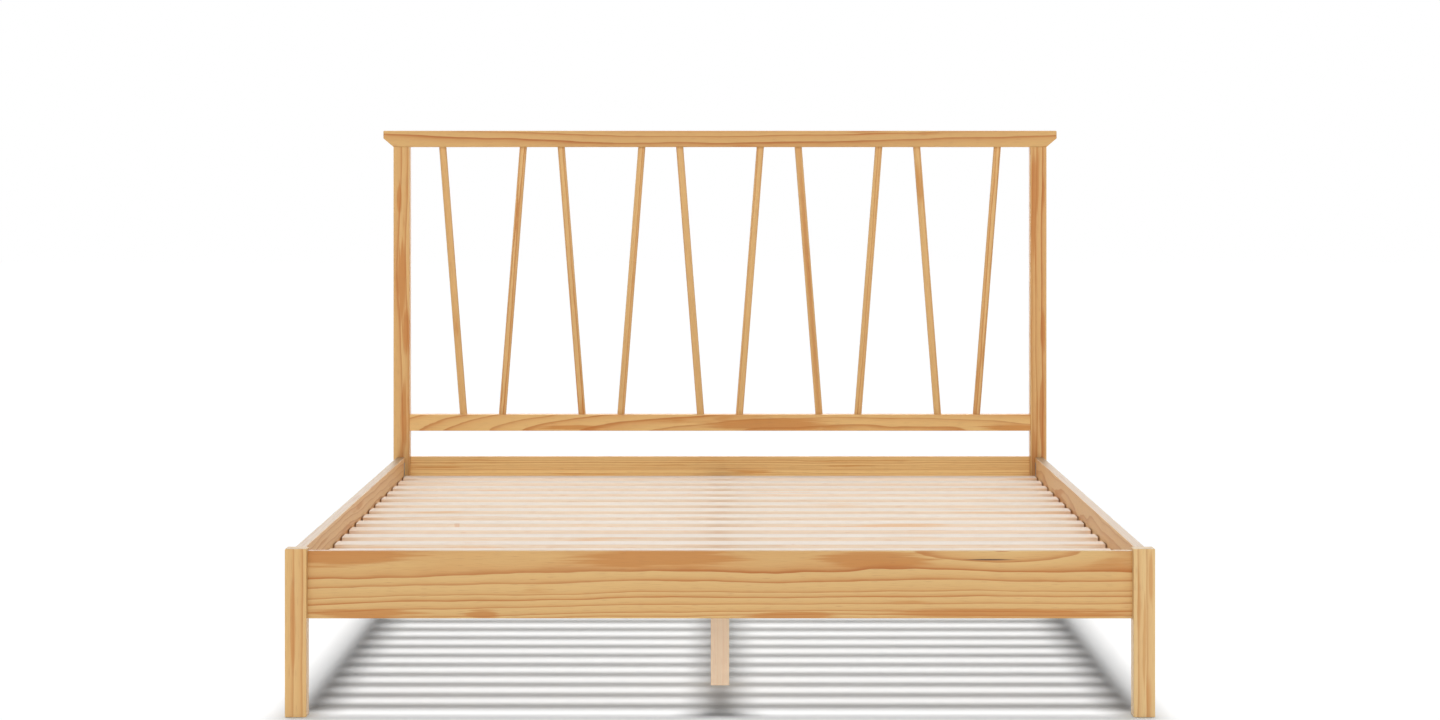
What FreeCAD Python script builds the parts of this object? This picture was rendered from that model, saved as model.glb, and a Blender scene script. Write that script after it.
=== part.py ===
import FreeCAD, Part
import os
import Sketcher

# A queen-size bed frame with a spindle headboard, in millimetres.
# X runs across the bed, Y from its foot to its head and Z up.
# The origin is on the floor, in the middle of the bed's outline.

doc = FreeCAD.newDocument("spindle_bed")
dims = doc.addObject("Spreadsheet::Sheet", "Dims")

driving_sizes = [
    ("mattress_width", 1530, "largest mattress, across"),
    ("mattress_length", 2030, "largest mattress, foot to head"),
    ("side_clearance", 10, "mattress to each side rail"),
    ("end_clearance", 30, "mattress to foot and head rails together"),
    ("post_size", 40, "side of the square legs and head posts"),
    ("post_easing", 2, "rounding of the legs' and posts' edges"),
    ("leg_rise", 6, "foot leg top above the rails' top"),
    ("rail_top", 305, "top edge of the four outer rails"),
    ("rail_height", 125, "face of the four outer rails"),
    ("rail_thickness", 20, "thickness of the four outer rails"),
    ("rail_easing", 1.5, "rounding of the rails' long edges"),
    ("rail_inset", 8, "side rail's outer face inside the legs' outer face"),
    ("headboard_height", 1108, "top of the cap"),
    ("cap_height", 40, "face of the cap"),
    ("cap_overhang", 25, "cap past each post"),
    ("cap_end_face", 18.6, "upright end of the cap above its bevel"),
    ("cap_easing", 2.5, "rounding of the cap's edges"),
    ("mid_rail_top", 410, "top of the rail that holds the spindles"),
    ("mid_rail_height", 40, "face of that rail"),
    ("mid_rail_thickness", 36, "thickness of that rail"),
    ("spindle_diameter", 18, "round spindles"),
    ("spindle_pairs", 5, "number of V-shaped pairs"),
    ("pair_end_gap", 179, "post to the nearest pair's middle"),
    ("pair_top_spread", 198.6, "between a pair's axes at the cap's underside"),
    ("pair_foot_spread", 95.8, "between a pair's axes at the rail's top"),
    ("spindle_tenon", 16, "length of a spindle inside its hole"),
    ("slat_count", 15, "number of slats"),
    ("slat_width", 64, "foot to head"),
    ("slat_thickness", 18, "slat board"),
    ("slat_drop", 44, "slat top below the rails' top"),
    ("slat_end_gap", 3.5, "slat end to side rail"),
    ("slat_head_gap", 34, "first slat to head-end rail"),
    ("slat_foot_gap", 90.2, "last slat to foot rail"),
    ("slat_easing", 2, "rounding of the slats' long edges"),
    ("ledger_width", 40, "cleat under the slats' ends, across"),
    ("ledger_height", 30, "cleat, upright"),
    ("ledger_end_gap", 35, "cleat's end to leg or post"),
    ("ledger_screw_count", 7, "screws in each cleat"),
    ("ledger_screw_inset", 25, "cleat's end to its nearest screw"),
    ("centre_rail_width", 64, "rail under the slats' middle"),
    ("centre_rail_height", 35, "that rail, upright"),
    ("centre_rail_gap", 1, "that rail to each end rail"),
    ("centre_leg_count", 3, "legs under that rail"),
    ("centre_leg_size", 36, "side of those square legs"),
    ("centre_leg_inset", 370, "foot rail to the nearest of those legs"),
    ("board_easing", 1, "rounding on the hidden boards' long edges"),
    ("seat_width", 110, "block that carries the centre rail's end"),
    ("seat_depth", 35, "that block, foot to head"),
    ("seat_screw_pitch", 76, "between the two screws of that block"),
    ("plate_thickness", 2.5, "steel of the rail fittings"),
    ("leaf_length", 28, "bracket let into the side rail's inner face"),
    ("leaf_height", 90, "that bracket, upright"),
    ("leaf_drop", 12, "bracket's top below the rail's top"),
    ("leaf_screw_pitch", 30, "between that bracket's screws"),
    ("flange_margin", 2, "bracket's flange inside the rail's outer face"),
    ("hook_pitch", 40, "from one hook to the other"),
    ("hook_neck", 14, "height of a hook's neck"),
    ("hook_drop", 8, "hook's nose below its neck"),
    ("hook_nose", 8, "length of a hook's nose"),
    ("hook_play", 0.5, "nose to slotted plate"),
    ("slot_side_gap", 0.3, "hook to each side of its slot"),
    ("slot_play", 1, "spare height in a slot"),
    ("slot_plate_width", 16, "slotted plate let into leg or post"),
    ("slot_plate_height", 110, "slotted plate, upright"),
    ("slot_plate_screw_inset", 8, "plate's end to its screw"),
    ("mortise_width", 8, "pocket behind the slotted plate"),
    ("mortise_depth", 12, "that pocket behind the plate"),
    ("mortise_play", 2, "room above and below the hooks"),
    ("dowel_diameter", 8, "dowels in the rails' ends"),
    ("dowel_in_post", 15, "dowel in leg or post"),
    ("dowel_in_rail", 20, "dowel in the rail's end"),
    ("dowel_pitch", 40, "between an end rail's dowels"),
    ("mid_dowel_pitch", 20, "between the spindle rail's dowels"),
    ("cap_dowel_diameter", 10, "dowel between post and cap"),
    ("cap_dowel_depth", 25, "that dowel in post and in cap"),
    ("hole_extra", 1, "spare depth at the end of a hole"),
    ("fit_gap", 0.1, "wall of a hole to what it holds"),
    ("plate_screw_diameter", 4, "screws of the steel fittings"),
    ("plate_screw_head", 7.5, "their countersunk heads"),
    ("leaf_screw_length", 16, "bracket to side rail"),
    ("slot_screw_length", 25, "slotted plate to leg or post"),
    ("frame_screw_diameter", 5, "wood screws of cleats and blocks"),
    ("frame_screw_head", 9.5, "their countersunk heads"),
    ("frame_screw_length", 50, "wood screws of cleats and blocks"),
    ("stud_diameter", 8, "stud between centre rail and its leg"),
    ("stud_in_leg", 30, "stud in the leg"),
    ("stud_in_rail", 25, "stud in the rail"),
    ("tape_inset", 25, "slat's end to the middle of the webbing tape"),
    ("tape_width", 20, "webbing tape under the slats"),
    ("tape_thickness", 1.5, "webbing tape"),
    ("tape_end_inset", 5, "tape's end inside the last slat's edge"),
    ("tape_groove_width", 23, "groove for the tape along the cleat's inner edge"),
    ("tape_groove_depth", 3, "that groove below the cleat's top"),
    ("staple_crown", 12, "staple across the tape"),
    ("staple_wire", 1.2, "staple's square wire"),
    ("staple_leg", 10, "staple's leg above its crown"),
]

for row, (name, size, note) in enumerate(driving_sizes, 1):
    dims.set(f"A{row}", note)
    dims.set(f"B{row}", str(size))
    dims.setAlias(f"B{row}", name)
doc.recompute()

left, right = -1, 1
foot, head = -1, 1
side_names = {left: "left", right: "right"}
end_names = {foot: "foot", head: "head"}

# Places and sizes that several pieces share, worked out from the sheet.
well_half = "(Dims.mattress_width / 2 + Dims.side_clearance)"
side_rail_x = f"({well_half} + Dims.rail_thickness / 2)"
post_outer = f"({well_half} + Dims.rail_thickness + Dims.rail_inset)"
post_x = f"({post_outer} - Dims.post_size / 2)"
post_inner = f"({post_outer} - Dims.post_size)"
end_setback = "(Dims.post_size - Dims.rail_thickness)"
side_span = f"(Dims.mattress_length + Dims.end_clearance - {end_setback})"
post_face = f"({side_span} / 2)"
post_y = f"({post_face} + Dims.post_size / 2)"
end_rail_y = {
    foot: f"-({post_face} + Dims.rail_thickness / 2)",
    head: f"({post_face} + {end_setback} + Dims.rail_thickness / 2)",
}
rail_z = "(Dims.rail_top - Dims.rail_height / 2)"
cap_under = "(Dims.headboard_height - Dims.cap_height)"
cap_z = "(Dims.headboard_height - Dims.cap_height / 2)"
mid_rail_z = "(Dims.mid_rail_top - Dims.mid_rail_height / 2)"
slat_top = "(Dims.rail_top - Dims.slat_drop)"
slat_under = f"({slat_top} - Dims.slat_thickness)"
slat_gaps = "(Dims.slat_head_gap + Dims.slat_foot_gap)"
slat_run = f"({side_span} + {end_setback} - {slat_gaps} - Dims.slat_width)"
first_slat_y = f"({post_face} + {end_setback} - Dims.slat_head_gap - Dims.slat_width / 2)"
slats_mid_y = f"({first_slat_y} - {slat_run} / 2)"
tape_x = f"({well_half} - Dims.slat_end_gap - Dims.tape_inset)"
ledger_x = f"({well_half} - Dims.ledger_width / 2)"
ledger_z = f"({slat_under} - Dims.ledger_height / 2)"
centre_rail_y = f"({end_setback} / 2)"
centre_rail_under = f"({slat_under} - Dims.centre_rail_height)"
centre_rail_length = f"({side_span} + {end_setback} - 2 * Dims.centre_rail_gap)"
rail_under = "(Dims.rail_top - Dims.rail_height)"
seat_height = f"({centre_rail_under} - {rail_under})"
seat_z = f"({rail_under} + {seat_height} / 2)"
seat_y = {
    foot: f"-({post_face} - Dims.seat_depth / 2)",
    head: f"({post_face} + {end_setback} - Dims.seat_depth / 2)",
}
leaf_z = "(Dims.rail_top - Dims.leaf_drop - Dims.leaf_height / 2)"
leaf_y = f"({post_face} - Dims.leaf_length / 2)"
slot_screw_rise = "(Dims.slot_plate_height / 2 - Dims.slot_plate_screw_inset)"
staple_leg_x = "((Dims.staple_crown - Dims.staple_wire) / 2)"
hole_wall = "2 * Dims.fit_gap"

# A spindle's axis: half the change of spread over the rise between the rails.
spindle_rise = f"({cap_under} - Dims.mid_rail_top)"
spindle_shift = "((Dims.pair_top_spread - Dims.pair_foot_spread) / 2)"
spindle_slant = f"sqrt({spindle_rise} ^ 2 + {spindle_shift} ^ 2)"
spindle_lean = f"atan({spindle_shift} / {spindle_rise})"
spindle_mid_spread = "((Dims.pair_top_spread + Dims.pair_foot_spread) / 4)"
spindle_mid_z = f"(({cap_under} + Dims.mid_rail_top) / 2)"
pair_run = f"(2 * ({post_inner} - Dims.pair_end_gap))"
pair_pitch = f"({pair_run} / (Dims.spindle_pairs - 1))"
first_pair_x = f"(-{pair_run} / 2)"

plane_across = {"X": "YZ_Plane", "Y": "XZ_Plane", "Z": "XY_Plane"}
direction_of = {
    "X": FreeCAD.Vector(1, 0, 0),
    "Y": FreeCAD.Vector(0, 1, 0),
    "Z": FreeCAD.Vector(0, 0, 1),
}
sub_parts = []


def value(expression):
    return float(dims.evalExpression(expression))


def origin_feature(body, role):
    for feature in body.Origin.OriginFeatures:
        if feature.Role == role:
            return feature
    raise ValueError(f"{body.Label} has no {role}")


def set_place(thing, x, y, z):
    thing.setExpression(".Placement.Base.x", x)
    thing.setExpression(".Placement.Base.y", y)
    thing.setExpression(".Placement.Base.z", z)


def new_body(label, x="0", y="0", z="0"):
    body = doc.addObject("PartDesign::Body", label)
    body.Label = label
    set_place(body, x, y, z)
    sub_parts.append(body)
    return body


def new_sketch(body, name, axis, offset):
    """A sketch square to an axis of the body, at a place along that axis."""
    sketch = body.newObject("Sketcher::SketchObject", name)
    sketch.AttachmentSupport = [(origin_feature(body, plane_across[axis]), "")]
    sketch.MapMode = "FlatFace"
    along_normal = f"-({offset})" if axis == "Y" else offset
    sketch.setExpression(".AttachmentOffset.Base.z", along_normal)
    return sketch


def bind(sketch, constraint, expression):
    index = sketch.addConstraint(constraint)
    sketch.setExpression(f"Constraints[{index}]", expression)


def draw_polygon(sketch, corners):
    """A closed outline, each corner bound to its two distances from the origin."""
    places = [FreeCAD.Vector(value(u), value(v), 0) for u, v in corners]
    count = len(places)
    lines = [Part.LineSegment(places[i], places[(i + 1) % count]) for i in range(count)]
    first = sketch.addGeometry(lines, False)[0]
    for i, (u, v) in enumerate(corners):
        line = first + i
        following = first + (i + 1) % count
        sketch.addConstraint(Sketcher.Constraint("Coincident", line, 2, following, 1))
        bind(sketch, Sketcher.Constraint("DistanceX", -1, 1, line, 1, places[i].x), u)
        bind(sketch, Sketcher.Constraint("DistanceY", -1, 1, line, 1, places[i].y), v)


def draw_rectangle(sketch, width, height, u="0", v="0"):
    low_u, high_u = f"({u}) - ({width}) / 2", f"({u}) + ({width}) / 2"
    low_v, high_v = f"({v}) - ({height}) / 2", f"({v}) + ({height}) / 2"
    draw_polygon(sketch, [(low_u, low_v), (high_u, low_v), (high_u, high_v), (low_u, high_v)])


def draw_circle(sketch, diameter, u="0", v="0"):
    centre = FreeCAD.Vector(value(u), value(v), 0)
    circle = Part.Circle(centre, direction_of["Z"], value(diameter) / 2)
    index = sketch.addGeometry(circle, False)
    bind(sketch, Sketcher.Constraint("DistanceX", -1, 1, index, 3, centre.x), u)
    bind(sketch, Sketcher.Constraint("DistanceY", -1, 1, index, 3, centre.y), v)
    bind(sketch, Sketcher.Constraint("Diameter", index, value(diameter)), diameter)


def extrude(body, kind, name, sketch, length):
    """A pad or pocket that reaches equally to both sides of its sketch."""
    feature = body.newObject(f"PartDesign::{kind}", name)
    feature.Profile = sketch
    feature.SideType = "Symmetric"
    feature.setExpression("Length", length)
    return feature


def block(body, kind, name, axis, length, width, height, u="0", v="0", offset="0"):
    """A rectangular pad or pocket, its length along the axis, centred on its place."""
    sketch = new_sketch(body, f"{name}_outline", axis, offset)
    draw_rectangle(sketch, width, height, u, v)
    return extrude(body, kind, name, sketch, length)


def bores(body, name, axis, diameter, length, centres, offset):
    """Round holes of one size and one depth, their middle at a place along the axis."""
    sketch = new_sketch(body, f"{name}_circles", axis, offset)
    for u, v in centres:
        draw_circle(sketch, f"{diameter} + {hole_wall}", u, v)
    return extrude(body, "Pocket", name, sketch, length)


def repeat(body, feature, axis, count, run, backwards=False):
    """Repeats the body's newest feature along an axis of the body."""
    doc.recompute()
    row_of = body.newObject("PartDesign::LinearPattern", f"{feature.Name}_row")
    row_of.Originals = [feature]
    row_of.Direction = (origin_feature(body, f"{axis}_Axis"), [""])
    row_of.Reversed = backwards
    row_of.setExpression("Occurrences", count)
    row_of.setExpression("Length", run)
    body.Tip = row_of


def ease(body, feature, radius, axis=None):
    """Rounds the feature's edges: those along one axis, or all of them."""
    doc.recompute()
    names = []
    for index, edge in enumerate(feature.Shape.Edges, 1):
        tangent = edge.tangentAt(edge.FirstParameter)
        if axis is None or abs(tangent.dot(direction_of[axis])) > 0.99:
            names.append(f"Edge{index}")
    fillet = body.newObject("PartDesign::Fillet", "easing")
    fillet.Base = (feature, names)
    fillet.setExpression("Radius", radius)
    return fillet


def countersink(body, name, direction, place, diameter, head_diameter):
    """A conical seat for a screw's head; direction is the way the screw points."""
    cone = body.newObject("PartDesign::SubtractiveCone", name)
    cone.Placement.Rotation = FreeCAD.Rotation(direction_of["Z"], direction)
    set_place(cone, *place)
    cone.setExpression("Radius1", f"{head_diameter} / 2 + Dims.fit_gap")
    cone.setExpression("Radius2", f"{diameter} / 2 + Dims.fit_gap")
    cone.setExpression("Height", f"({head_diameter} - {diameter}) / 2")
    return cone


# Pieces of the headboard and the foot end.


def spindle_holes(body, body_z):
    """Blind leaning holes for every pair, from the spindles' own axes."""
    reach = f"({spindle_slant} / 2 + Dims.spindle_tenon + Dims.hole_extra)"
    for lean in (left, right):
        hole = body.newObject("PartDesign::SubtractiveCylinder", f"{side_names[lean]}_hole")
        hole.Placement.Rotation = FreeCAD.Rotation(FreeCAD.Vector(0, lean, 0), 1)
        hole.setExpression(".Placement.Rotation.Angle", spindle_lean)
        foot_x = f"{first_pair_x} + {lean} * ({spindle_mid_spread}"
        foot_x += f" - {reach} * {spindle_shift} / {spindle_slant})"
        foot_z = f"{spindle_mid_z} - {reach} * {spindle_rise} / {spindle_slant} - {body_z}"
        set_place(hole, foot_x, "0", foot_z)
        hole.setExpression("Radius", "Dims.spindle_diameter / 2 + Dims.fit_gap")
        hole.setExpression("Height", f"2 * {reach}")
        repeat(body, hole, "X", "Dims.spindle_pairs", pair_run)


def make_cap():
    body = new_body("headboard_cap", "0", post_y, cap_z)
    outline = new_sketch(body, "outline", "Y", "0")
    tip = f"({post_outer} + Dims.cap_overhang)"
    bevel_top = "(Dims.cap_height / 2 - Dims.cap_end_face)"
    half = "(Dims.cap_height / 2)"
    draw_polygon(outline, [
        (f"-{post_outer}", f"-{half}"),
        (post_outer, f"-{half}"),
        (tip, bevel_top),
        (tip, half),
        (f"-{tip}", half),
        (f"-{tip}", bevel_top),
    ])
    board = extrude(body, "Pad", "board", outline, "Dims.post_size")
    ease(body, board, "Dims.cap_easing")
    depth = "(Dims.cap_dowel_depth + Dims.hole_extra)"
    centres = [(f"{side} * {post_x}", "0") for side in (left, right)]
    offset = f"({depth} - Dims.cap_height) / 2"
    bores(body, "post_dowel_holes", "Z", "Dims.cap_dowel_diameter", depth, centres, offset)
    spindle_holes(body, cap_z)


def dowel_rows(pitch, count):
    return [f"({row} - {count - 1} / 2) * {pitch}" for row in range(count)]


def rail_end_bores(body, rises):
    depth = "(Dims.dowel_in_rail + Dims.hole_extra)"
    centres = [("0", rise) for rise in rises]
    for side in (left, right):
        offset = f"{side} * ({post_inner} - {depth} / 2)"
        name = f"{side_names[side]}_dowel_holes"
        bores(body, name, "X", "Dims.dowel_diameter", depth, centres, offset)


end_rail_rises = dowel_rows("Dims.dowel_pitch", 3)
mid_rail_rises = dowel_rows("Dims.mid_dowel_pitch", 2)


def make_mid_rail():
    body = new_body("headboard_mid_rail", "0", post_y, mid_rail_z)
    width, height = "Dims.mid_rail_thickness", "Dims.mid_rail_height"
    board = block(body, "Pad", "board", "X", f"2 * {post_inner}", width, height)
    ease(body, board, "Dims.rail_easing", "X")
    rail_end_bores(body, mid_rail_rises)
    spindle_holes(body, mid_rail_z)


def make_spindle(number, pair, lean):
    x = f"{first_pair_x} + {pair} * {pair_pitch} + {lean} * {spindle_mid_spread}"
    body = new_body(f"spindle_{number:02d}", x, post_y, spindle_mid_z)
    body.Placement.Rotation = FreeCAD.Rotation(FreeCAD.Vector(0, lean, 0), 1)
    body.setExpression(".Placement.Rotation.Angle", spindle_lean)
    outline = new_sketch(body, "section", "Z", "0")
    draw_circle(outline, "Dims.spindle_diameter")
    extrude(body, "Pad", "rod", outline, f"{spindle_slant} + 2 * Dims.spindle_tenon")


def make_end_rail(label, end):
    body = new_body(label, "0", end_rail_y[end], rail_z)
    width, height = "Dims.rail_thickness", "Dims.rail_height"
    board = block(body, "Pad", "board", "X", f"2 * {post_inner}", width, height)
    ease(body, board, "Dims.rail_easing", "X")
    rail_end_bores(body, end_rail_rises)
    depth = "(Dims.frame_screw_length - Dims.seat_depth + Dims.hole_extra)"
    rise = f"{seat_z} - {rail_z}"
    centres = [(f"{side} * Dims.seat_screw_pitch / 2", rise) for side in (left, right)]
    offset = f"{-end} * (Dims.rail_thickness - {depth}) / 2"
    bores(body, "seat_screw_holes", "Y", "Dims.frame_screw_diameter", depth, centres, offset)


def make_upright(label, side, end, height, eased_axis):
    """A foot leg or head post with the holes that both kinds have."""
    body = new_body(label, f"{side} * {post_x}", f"{end} * {post_y}", "0")
    size = "Dims.post_size"
    board = block(body, "Pad", "board", "Z", height, size, size, offset=f"{height} / 2")
    ease(body, board, "Dims.post_easing", eased_axis)

    depth = "(Dims.dowel_in_post + Dims.hole_extra)"
    rail_place = f"{end_rail_y[end]} - {end} * {post_y}"
    centres = [(rail_place, f"{rail_z} + {rise}") for rise in end_rail_rises]
    inward = f"{-side} * (Dims.post_size - {depth}) / 2"
    bores(body, "rail_dowel_holes", "X", "Dims.dowel_diameter", depth, centres, inward)

    fitting_x = f"{side} * ({side_rail_x} - {post_x})"
    to_face = f"{-end} * Dims.post_size / 2"
    recess_place = f"{to_face} + {end} * Dims.plate_thickness / 2"
    plate = ("Dims.plate_thickness", "Dims.slot_plate_width", "Dims.slot_plate_height")
    block(body, "Pocket", "plate_recess", "Y", *plate, fitting_x, leaf_z, recess_place)
    hooks_height = "Dims.hook_pitch + Dims.hook_neck"
    hooks_height += " + 2 * (Dims.hook_drop + Dims.mortise_play)"
    mortise_place = f"{to_face} + {end} * (Dims.plate_thickness + Dims.mortise_depth / 2)"
    mortise = ("Dims.mortise_depth", "Dims.mortise_width", hooks_height)
    block(body, "Pocket", "hook_mortise", "Y", *mortise, fitting_x, leaf_z, mortise_place)
    depth = "(Dims.slot_screw_length + Dims.hole_extra)"
    centres = [(fitting_x, f"{leaf_z} + {way} * {slot_screw_rise}") for way in (-1, 1)]
    place = f"{to_face} + {end} * {depth} / 2"
    bores(body, "plate_screw_holes", "Y", "Dims.plate_screw_diameter", depth, centres, place)
    return body


def make_head_post(side):
    body = make_upright(f"head_post_{side_names[side]}", side, head, cap_under, "Z")
    depth = "(Dims.dowel_in_post + Dims.hole_extra)"
    centres = [("0", f"{mid_rail_z} + {rise}") for rise in mid_rail_rises]
    inward = f"{-side} * (Dims.post_size - {depth}) / 2"
    bores(body, "mid_rail_dowel_holes", "X", "Dims.dowel_diameter", depth, centres, inward)
    depth = "(Dims.cap_dowel_depth + Dims.hole_extra)"
    top = f"{cap_under} - {depth} / 2"
    bores(body, "cap_dowel_hole", "Z", "Dims.cap_dowel_diameter", depth, [("0", "0")], top)


def make_foot_leg(side):
    height = "(Dims.rail_top + Dims.leg_rise)"
    make_upright(f"foot_leg_{side_names[side]}", side, foot, height, None)


# The side rails and what they carry.


ledger_screw_run = f"({side_span} - 2 * (Dims.ledger_end_gap + Dims.ledger_screw_inset))"


def ledger_screw_bores(body, depth, offset, rise):
    first = [(f"-{ledger_screw_run} / 2", rise)]
    diameter = "Dims.frame_screw_diameter"
    hole = bores(body, "ledger_screw_hole", "X", diameter, depth, first, offset)
    repeat(body, hole, "Y", "Dims.ledger_screw_count", ledger_screw_run)


def make_side_rail(side):
    body = new_body(f"side_rail_{side_names[side]}", f"{side} * {side_rail_x}", "0", rail_z)
    length = f"{side_span} - 2 * Dims.plate_thickness"
    width, height = "Dims.rail_thickness", "Dims.rail_height"
    board = block(body, "Pad", "board", "Y", length, width, height)
    ease(body, board, "Dims.rail_easing", "Y")
    leaf = ("Dims.plate_thickness", "Dims.leaf_length", "Dims.leaf_height")
    recess_x = f"{-side} * (Dims.rail_thickness - Dims.plate_thickness) / 2"
    for end in (foot, head):
        name = f"{end_names[end]}_leaf_recess"
        block(body, "Pocket", name, "X", *leaf, f"{end} * {leaf_y}", f"{leaf_z} - {rail_z}", recess_x)
    depth = "(Dims.leaf_screw_length + Dims.hole_extra)"
    centres = []
    for end in (foot, head):
        for row in (-1, 0, 1):
            rise = f"{leaf_z} - {rail_z} + {row} * Dims.leaf_screw_pitch"
            centres.append((f"{end} * {leaf_y}", rise))
    inward = f"{-side} * (Dims.rail_thickness - {depth}) / 2"
    bores(body, "bracket_screw_holes", "X", "Dims.plate_screw_diameter", depth, centres, inward)
    depth = "(Dims.frame_screw_length - Dims.ledger_width + Dims.hole_extra)"
    inward = f"{-side} * (Dims.rail_thickness - {depth}) / 2"
    ledger_screw_bores(body, depth, inward, f"{ledger_z} - {rail_z}")


def make_ledger(side):
    body = new_body(f"slat_ledger_{side_names[side]}", f"{side} * {ledger_x}", "0", ledger_z)
    width, height = "Dims.ledger_width", "Dims.ledger_height"
    length = f"{side_span} - 2 * Dims.ledger_end_gap"
    board = block(body, "Pad", "board", "Y", length, width, height)
    ease(body, board, "Dims.board_easing", "Y")
    groove_width, groove_depth = "Dims.tape_groove_width", "Dims.tape_groove_depth"
    groove_x = f"{-side} * ({width} - {groove_width}) / 2"
    groove_z = f"({height} - {groove_depth}) / 2"
    block(body, "Pocket", "tape_groove", "Y", length, groove_width, groove_depth, groove_x, groove_z)
    ledger_screw_bores(body, width, "0", "0")
    face = f"{-side} * Dims.ledger_width / 2"
    way = FreeCAD.Vector(side, 0, 0)
    screw = ("Dims.frame_screw_diameter", "Dims.frame_screw_head")
    seat = countersink(body, "head_seat", way, (face, f"-{ledger_screw_run} / 2", "0"), *screw)
    repeat(body, seat, "Y", "Dims.ledger_screw_count", ledger_screw_run)


def make_centre_rail():
    body = new_body("centre_rail", "0", centre_rail_y, f"{slat_under} - Dims.centre_rail_height / 2")
    width, height = "Dims.centre_rail_width", "Dims.centre_rail_height"
    board = block(body, "Pad", "board", "Y", centre_rail_length, width, height)
    ease(body, board, "Dims.board_easing", "Y")
    centres = [("0", f"{seat_y[end]} - {centre_rail_y}") for end in (foot, head)]
    bores(body, "seat_screw_holes", "Z", "Dims.frame_screw_diameter", height, centres, "0")
    screw = ("Dims.frame_screw_diameter", "Dims.frame_screw_head")
    for end in (foot, head):
        place = ("0", f"{seat_y[end]} - {centre_rail_y}", "Dims.centre_rail_height / 2")
        countersink(body, f"{end_names[end]}_head_seat", -direction_of["Z"], place, *screw)
    depth = "(Dims.stud_in_rail + Dims.hole_extra)"
    centres = [("0", f"{y} - {centre_rail_y}") for y in centre_leg_places()]
    place = f"({depth} - Dims.centre_rail_height) / 2"
    bores(body, "stud_holes", "Z", "Dims.stud_diameter", depth, centres, place)


def centre_leg_places():
    """Evenly along the bed, the outermost two at the same distance from the side's ends."""
    count = int(value("Dims.centre_leg_count"))
    run = f"({side_span} - 2 * Dims.centre_leg_inset)"
    return [f"({i} / (Dims.centre_leg_count - 1) - 1 / 2) * {run}" for i in range(count)]


def make_centre_leg(number, y):
    body = new_body(f"centre_leg_{number}", "0", y, "0")
    size = "Dims.centre_leg_size"
    middle = f"{centre_rail_under} / 2"
    board = block(body, "Pad", "board", "Z", centre_rail_under, size, size, offset=middle)
    ease(body, board, "Dims.board_easing", "Z")
    depth = "(Dims.stud_in_leg + Dims.hole_extra)"
    place = f"{centre_rail_under} - {depth} / 2"
    bores(body, "stud_hole", "Z", "Dims.stud_diameter", depth, [("0", "0")], place)


def make_seat(end):
    body = new_body(f"centre_rail_seat_{end_names[end]}", "0", seat_y[end], seat_z)
    depth = "Dims.seat_depth"
    board = block(body, "Pad", "board", "Y", depth, "Dims.seat_width", seat_height)
    ease(body, board, "Dims.board_easing", "Y")
    centres = [(f"{side} * Dims.seat_screw_pitch / 2", "0") for side in (left, right)]
    bores(body, "rail_screw_holes", "Y", "Dims.frame_screw_diameter", depth, centres, "0")
    screw = ("Dims.frame_screw_diameter", "Dims.frame_screw_head")
    for side in (left, right):
        place = (f"{side} * Dims.seat_screw_pitch / 2", f"{-end} * Dims.seat_depth / 2", "0")
        way = FreeCAD.Vector(0, end, 0)
        countersink(body, f"{side_names[side]}_head_seat", way, place, *screw)
    depth = "(Dims.frame_screw_length - Dims.centre_rail_height + Dims.hole_extra)"
    place = f"({seat_height} - {depth}) / 2"
    bores(body, "upright_screw_hole", "Z", "Dims.frame_screw_diameter", depth, [("0", "0")], place)


# The slats, webbing tapes and staples.


def slat_y(number):
    return f"({first_slat_y} - {number - 1} * {slat_run} / (Dims.slat_count - 1))"


def staple_leg_places():
    """Across the bed: two legs for each of the two tapes."""
    return [f"{side} * {tape_x} + {way} * {staple_leg_x}"
            for side in (left, right) for way in (-1, 1)]


def make_slat(number):
    place = f"{slat_under} + Dims.slat_thickness / 2"
    body = new_body(f"slat_{number:02d}", "0", slat_y(number), place)
    length = f"2 * ({well_half} - Dims.slat_end_gap)"
    board = block(body, "Pad", "board", "X", length, "Dims.slat_width", "Dims.slat_thickness")
    ease(body, board, "Dims.slat_easing", "X")
    depth = "(Dims.staple_leg - Dims.tape_thickness + Dims.hole_extra)"
    holes = new_sketch(body, "staple_marks", "Z", f"({depth} - Dims.slat_thickness) / 2")
    side = f"Dims.staple_wire + {hole_wall}"
    for x in staple_leg_places():
        draw_rectangle(holes, side, side, x, "0")
    extrude(body, "Pocket", "staple_holes", holes, depth)


def make_tape(side):
    place = f"{slat_under} - Dims.tape_thickness / 2"
    label = f"slat_tape_{side_names[side]}"
    body = new_body(label, f"{side} * {tape_x}", slats_mid_y, place)
    length = f"{slat_run} + Dims.slat_width - 2 * Dims.tape_end_inset"
    thickness = "Dims.tape_thickness"
    block(body, "Pad", "strip", "Y", length, "Dims.tape_width", thickness)
    holes = new_sketch(body, "staple_marks", "Z", "0")
    wire = f"Dims.staple_wire + {hole_wall}"
    for way in (-1, 1):
        draw_rectangle(holes, wire, wire, f"{way} * {staple_leg_x}", f"{slat_run} / 2")
    first = extrude(body, "Pocket", "first_staple_holes", holes, thickness)
    repeat(body, first, "Y", "Dims.slat_count", slat_run, backwards=True)


# The rail fittings.


def hook_rises():
    return [f"({leaf_z} + {way} * Dims.hook_pitch / 2)" for way in (-1, 1)]


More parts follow.
